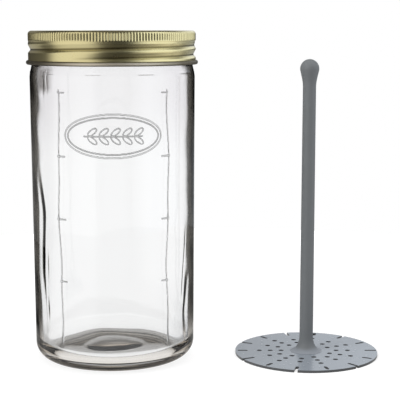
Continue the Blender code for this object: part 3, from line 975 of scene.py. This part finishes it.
def gold_material(name, part_bare=False):
    """Satin gold lacquer on tinplate. The band's inner face and curl are bare and greyer, with painted sheen where
    they face the eye and painted shade where they are seen at a slant.
    """
    material, tree = new_material(name)
    place = object_place(tree)
    clouding = noise(tree, 90.0, 4.0, 0.6, place)
    speckle = noise(tree, 2400.0, 2.0, 0.6, place)
    gold = mix_colour(tree, clouding, (0.68, 0.60, 0.32), (0.75, 0.665, 0.365))
    if part_bare:
        lacquer = add(tree, "ShaderNodeAttribute", {"attribute_name": "lacquer"}).outputs["Fac"]
        # painted sheen and shade on the bare metal: bright where it faces the eye, dark at a slant
        facing = add(tree, "ShaderNodeLayerWeight", Blend=0.5).outputs["Facing"]
        bare = ramp(tree, facing, [(0.0, (0.90, 0.81, 0.66)), (0.10, (0.66, 0.59, 0.475)), (0.22, (0.37, 0.33, 0.255)),
                                   (0.45, (0.18, 0.157, 0.115)), (1.0, (0.13, 0.113, 0.08))])
        gold = mix_colour(tree, lacquer, bare, gold)
        # painted shade in the crease at the groove's bottom and in the flutes' valleys
        pooled = add(tree, "ShaderNodeAttribute", {"attribute_name": "crease"}).outputs["Fac"]
        gold = mix_colour(tree, pooled, gold, (0.13, 0.105, 0.04))
    rough = add(tree, "ShaderNodeMapRange", Value=clouding)
    rough.inputs["To Min"].default_value = 0.24
    rough.inputs["To Max"].default_value = 0.34
    rough = rough.outputs[0]
    if part_bare:
        rough = maths(tree, "MULTIPLY_ADD", maths(tree, "SUBTRACT", 1.0, lacquer), 0.24, rough)
    shader = add(tree, "ShaderNodeBsdfPrincipled", Base_Color=gold, Metallic=1.0, Roughness=rough)
    tree.links.new(bump(tree, speckle, 0.04, 0.00005), shader.inputs["Normal"])
    surface(tree, shader.outputs[0])
    return material


def compound_material():
    """Soft matt sealing compound."""
    material, tree = new_material("sealing_compound")
    place = object_place(tree)
    colour = mix_colour(tree, noise(tree, 300.0, 3.0, 0.6, place), (0.55, 0.26, 0.19), (0.64, 0.33, 0.25))
    shader = add(tree, "ShaderNodeBsdfPrincipled", Base_Color=colour, Roughness=0.6)
    tree.links.new(bump(tree, noise(tree, 1500.0, 2.0, 0.5, place), 0.2, 0.0001), shader.inputs["Normal"])
    surface(tree, shader.outputs[0])
    return material


def plastic_material(name, dark, light, low_rough, high_rough, grain):
    """Moulded plastic with a fine spark-eroded grain and slight clouding."""
    material, tree = new_material(name)
    place = object_place(tree)
    clouding = noise(tree, 60.0, 3.0, 0.55, place)
    colour = mix_colour(tree, clouding, dark, light)
    rough = add(tree, "ShaderNodeMapRange", Value=noise(tree, 400.0, 2.0, 0.5, place))
    rough.inputs["To Min"].default_value = low_rough
    rough.inputs["To Max"].default_value = high_rough
    shader = add(tree, "ShaderNodeBsdfPrincipled", Base_Color=colour, Roughness=rough.outputs[0])
    shader.inputs["IOR"].default_value = 1.48
    tree.links.new(bump(tree, noise(tree, 3200.0, 2.0, 0.6, place), grain, 0.00006), shader.inputs["Normal"])
    surface(tree, shader.outputs[0])
    return tree, colour, shader, material


def plate_material():
    """The plate's plastic, with painted shade that darkens its upright edges at its rim, holes and slots."""
    # the plate and the stem are lit and shaded copies of one grey plastic: the plate's lighter colour is painted light
    tree, colour, shader, material = plastic_material(
        "grey_plate", (0.238, 0.266, 0.302), (0.258, 0.286, 0.322), 0.22, 0.30, 0.03
    )
    facing = add(tree, "ShaderNodeNewGeometry").outputs["True Normal"]
    upright = add(tree, "ShaderNodeSeparateXYZ", Vector=facing).outputs["Z"]
    flat = smooth_range(tree, maths(tree, "ABSOLUTE", upright), 0.35, 0.9)
    # painted shade on the upright faces of the rim, holes and slots
    tree.links.new(mix_colour(tree, flat, (0.085, 0.088, 0.092), colour), shader.inputs["Base Color"])
    return material


def stem_material():
    """The stem's plastic, with painted light that pales it towards the plate at its flared foot, where it faces up."""
    # the stem and the plate are lit and shaded copies of one grey plastic: the stem's darker colour is painted shade
    tree, colour, shader, material = plastic_material(
        "grey_stem", (0.150, 0.160, 0.167), (0.170, 0.180, 0.187), 0.44, 0.52, 0.08
    )
    height = add(tree, "ShaderNodeSeparateXYZ", Vector=object_place(tree)).outputs["Z"]
    # painted light: the flared foot is lighter where it faces up
    low = smooth_range(tree, height, 0.0050, 0.0018)
    tree.links.new(mix_colour(tree, low, colour, (0.25, 0.27, 0.30)), shader.inputs["Base Color"])
    return material


# Studio

def horizon_box(tree, direction, azimuth, wide, soft):
    """1 towards an azimuth and 0 away from it, with a soft edge. The azimuth is 0 along +Y and 90 along +X."""
    heading = (math.sin(math.radians(azimuth)), math.cos(math.radians(azimuth)), 0.0)
    level = add(tree, "ShaderNodeVectorMath", {"operation": "MULTIPLY"}, i0=direction, i1=(1.0, 1.0, 0.0)).outputs[0]
    level = add(tree, "ShaderNodeVectorMath", {"operation": "NORMALIZE"}, i0=level).outputs[0]
    towards = add(tree, "ShaderNodeVectorMath", {"operation": "DOT_PRODUCT"}, i0=level, i1=heading).outputs["Value"]
    near, far = math.cos(math.radians(wide - soft)), math.cos(math.radians(wide + soft))
    return smooth_range(tree, towards, far, near)


def side_boxes(tree, direction, right_power=RIGHT_POWER):
    """Two soft boxes, left and right of the camera, that the gold shows."""
    left_box = horizon_box(tree, direction, 180 + 52, 33, 9)
    right_box = horizon_box(tree, direction, 180 - 80, 36, 16)
    return maths(tree, "MAXIMUM", left_box, maths(tree, "MULTIPLY", right_box, right_power))


def smooth_range(tree, value, low, high):
    node = add(tree, "ShaderNodeMapRange", {"interpolation_type": "SMOOTHSTEP"}, Value=value)
    node.inputs["From Min"].default_value = low
    node.inputs["From Max"].default_value = high
    return node.outputs[0]


def make_world():
    """White to the eye. Metal sees two soft boxes, glass a white field with darker gaps, the rest a plain sky."""
    world = bpy.data.worlds.new("studio")
    bpy.context.scene.world = world
    tree = nodes_of(world)
    direction = add(tree, "ShaderNodeTexCoord").outputs["Generated"]
    height = add(tree, "ShaderNodeSeparateXYZ", Vector=direction).outputs["Z"]
    boxes = side_boxes(tree, direction)
    boxes = maths(tree, "MULTIPLY", boxes, maths(tree, "SUBTRACT", 1.0, smooth_range(tree, height, 0.82, 0.94)))
    behind = maths(tree, "MULTIPLY", horizon_box(tree, direction, 0, 70, 15), smooth_range(tree, height, 0.05, 0.20))
    behind = maths(tree, "MULTIPLY", behind, maths(tree, "SUBTRACT", 1.0, smooth_range(tree, height, 0.45, 0.60)))
    across = add(tree, "ShaderNodeSeparateXYZ", Vector=direction).outputs["X"]
    fuller = maths(tree, "MULTIPLY_ADD", smooth_range(tree, across, -0.16, -0.04), 0.4, 0.22)
    fuller = maths(tree, "MULTIPLY_ADD", smooth_range(tree, across, 0.0, 0.16), 0.5, fuller)
    behind = maths(tree, "MULTIPLY", behind, fuller)
    below = maths(tree, "MULTIPLY", horizon_box(tree, direction, 0, 75, 12), smooth_range(tree, height, -0.06, -0.12))
    behind = maths(tree, "MAXIMUM", behind, maths(tree, "MULTIPLY", below, 0.42))
    overhead = maths(tree, "MULTIPLY", smooth_range(tree, height, 0.85, 0.95), 0.12)
    ahead = maths(tree, "MULTIPLY", horizon_box(tree, direction, 180, 60, 20), smooth_range(tree, height, 0.12, 0.30))
    ahead = maths(tree, "MULTIPLY", ahead, maths(tree, "SUBTRACT", 0.22, smooth_range(tree, height, 0.45, 0.70)),
                  clamp=True)
    overhead = maths(tree, "MAXIMUM", overhead, ahead)
    gloss = maths(tree, "MAXIMUM", maths(tree, "MAXIMUM", boxes, behind), overhead)
    gloss = maths(tree, "ADD", gloss, 0.03)
    bluish = smooth_range(tree, across, 0.0, 0.20)
    gloss = mix_colour(tree, 1.0, mix_colour(tree, bluish, grey(1.0), (0.93, 0.99, 1.07)), gloss, blend="MULTIPLY")
    split = add(tree, "ShaderNodeSeparateXYZ", Vector=direction)
    azimuth = maths(tree, "ARCTAN2", split.outputs["X"], split.outputs["Y"])
    turned = maths(tree, "ADD", azimuth, math.radians(4.0))
    gaps = maths(tree, "COSINE", maths(tree, "MULTIPLY", turned, 8.0))
    field = smooth_range(tree, gaps, -0.95, -0.35)
    field = maths(tree, "MULTIPLY_ADD", field, 0.12, 0.88)
    high_up = smooth_range(tree, height, 0.10, 0.24)
    field = maths(tree, "MULTIPLY", field, maths(tree, "SUBTRACT", 1.0, maths(tree, "MULTIPLY", high_up, 0.65)))
    paths = add(tree, "ShaderNodeLightPath")
    value = mix_colour(tree, paths.outputs["Is Glossy Ray"], grey(0.62), gloss)
    value = mix_colour(tree, paths.outputs["Is Transmission Ray"], value, field)
    value = mix_colour(tree, paths.outputs["Is Camera Ray"], value, grey(1.0))
    background = add(tree, "ShaderNodeBackground", Color=value, Strength=1.0)
    output = tree.nodes.new("ShaderNodeOutputWorld")
    tree.links.new(background.outputs[0], output.inputs["Surface"])


def make_floor():
    """A pale floor that stays white around the soft shadows on it."""
    material, tree = new_material("pale_floor")
    paths = add(tree, "ShaderNodeLightPath")
    place = object_place(tree)
    outwards = add(tree, "ShaderNodeVectorMath", {"operation": "LENGTH"}, i0=place).outputs["Value"]
    matt = add(tree, "ShaderNodeBsdfDiffuse", Color=(0.52, 0.52, 0.52, 1.0))
    to_camera = maths(tree, "MULTIPLY_ADD", smooth_range(tree, outwards, 0.15, FLOOR_RADIUS), 0.22, 0.52)
    to_camera = maths(tree, "MULTIPLY", to_camera, paths.outputs["Is Camera Ray"])
    glow = add(tree, "ShaderNodeEmission", Color=(1.0, 1.0, 1.0, 1.0), Strength=to_camera)
    both = add(tree, "ShaderNodeAddShader", i0=matt.outputs[0], i1=glow.outputs[0])
    # painted light: for reflections the floor glows in the pattern of the side boxes and a dimmer box behind, brighter
    # near what it mirrors and under the jar
    from_jar = add(tree, "ShaderNodeVectorMath", {"operation": "SUBTRACT"}, i0=place, i1=(JAR_X, 0.0, 0.0)).outputs[0]
    behind = maths(tree, "MULTIPLY", horizon_box(tree, from_jar, 15, 60, 12), 0.3)
    away = add(tree, "ShaderNodeVectorMath", {"operation": "LENGTH"}, i0=from_jar).outputs["Value"]
    right_power = maths(tree, "MULTIPLY", smooth_range(tree, away, 0.15, 0.32), RIGHT_POWER)
    lit = maths(tree, "MAXIMUM", side_boxes(tree, from_jar, right_power), behind)
    lit = maths(tree, "MULTIPLY", lit, smooth_range(tree, away, 0.07, 0.11))
    near = maths(tree, "MULTIPLY", smooth_range(tree, paths.outputs["Ray Length"], 0.10, 0.05), 0.75)
    under = maths(tree, "MULTIPLY", smooth_range(tree, away, 0.115, 0.085), 0.8)
    lit = maths(tree, "MAXIMUM", maths(tree, "MAXIMUM", lit, near), under)
    mirrored = maths(tree, "MULTIPLY_ADD", lit, 0.77, 0.05)
    through = paths.outputs["Is Transmission Ray"]
    level = add(tree, "ShaderNodeMix", i0=through, i2=mirrored, i3=0.97).outputs[0]
    plain = add(tree, "ShaderNodeEmission", Color=(1.0, 1.0, 1.0, 1.0), Strength=level)
    indirect = maths(tree, "MAXIMUM", paths.outputs["Is Glossy Ray"], through)
    mixed = add(tree, "ShaderNodeMixShader", i0=indirect, i1=both.outputs[0], i2=plain.outputs[0])
    surface(tree, mixed.outputs[0])
    rim = [(FLOOR_RADIUS * math.cos(a), FLOOR_RADIUS * math.sin(a), 0.0) for a in even_angles(96)]
    floor = mesh_piece("studio_floor", rim, [tuple(range(len(rim)))], material)
    return floor


def soft_lamp(name, place, size, power):
    """A square lamp that looks at the middle of the set."""
    data = bpy.data.lights.new(name, "AREA")
    data.shape = "SQUARE"
    data.size = size
    data.energy = power
    lamp = bpy.data.objects.new(name, data)
    lamp.location = place
    aim = Vector((0.0, 0.0, 0.09)) - Vector(place)
    lamp.rotation_mode = "QUATERNION"
    lamp.rotation_quaternion = aim.to_track_quat("-Z", "Y")
    lamp.visible_glossy = False
    lamp.visible_transmission = False
    bpy.context.scene.collection.objects.link(lamp)
    return lamp


def make_lamps():
    soft_lamp("left_lamp", (-1.1, -0.75, 0.9), 0.9, 15.0)
    soft_lamp("right_lamp", (1.2, -0.35, 0.8), 0.8, 2.0)
    soft_lamp("top_lamp", (0.1, 0.2, 1.6), 1.0, 8.0)


def make_camera():
    data = bpy.data.cameras.new("camera")
    data.sensor_width = SENSOR_MM
    data.lens = SENSOR_MM * FOCAL_PX / IMAGE_SIDE_PX
    data.clip_start = 0.01
    data.clip_end = 30.0
    camera = bpy.data.objects.new("camera", data)
    camera.location = CAMERA_PLACE
    camera.rotation_euler = (math.pi / 2 - CAMERA_PITCH, 0.0, 0.0)
    bpy.context.scene.collection.objects.link(camera)
    bpy.context.scene.camera = camera


def main():
    bpy.context.scene.view_settings.view_transform = "Standard"
    make_camera()
    make_world()
    make_floor()
    make_lamps()
    make_jar(glass_material())
    make_band(gold_material("gold_lacquer_band", part_bare=True))
    make_disc(gold_material("gold_lacquer_disc"))
    make_seal(compound_material())
    make_plate(plate_material())
    make_stem(stem_material())


main()
